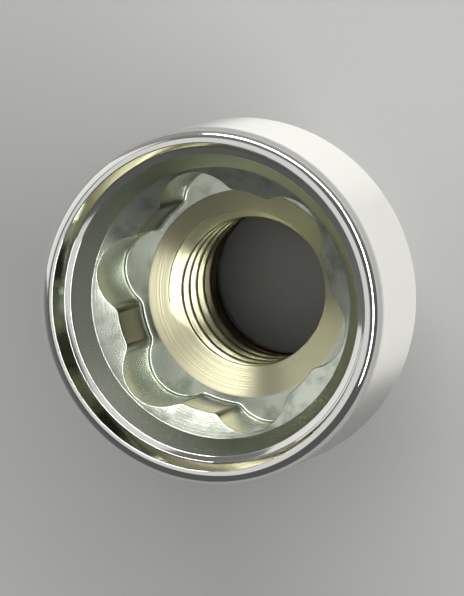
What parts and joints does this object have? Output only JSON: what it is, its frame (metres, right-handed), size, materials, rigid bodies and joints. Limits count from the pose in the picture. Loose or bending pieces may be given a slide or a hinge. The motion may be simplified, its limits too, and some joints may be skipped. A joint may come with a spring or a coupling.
{
  "type": "locking wheel nut",
  "caption": "Open-ended round locking wheel nut with a lobed key recess in its rim end, a threaded hole right through and a cone seat.",
  "frame": {"origin": "on the nut's axis at the flat face of its seat end, which it stands on", "axes": "+Z along the axis from the seat end to the key end; +X to the right in the picture, and +Y up in it"},
  "size_m": [0.0246, 0.0246, 0.018],
  "materials": {
    "chrome_steel": "bright plating, mirror outside, duller inside the recess"
  },
  "bodies": {
    "root": {"nut_body": "chrome_steel"}
  },
  "joints": []
}
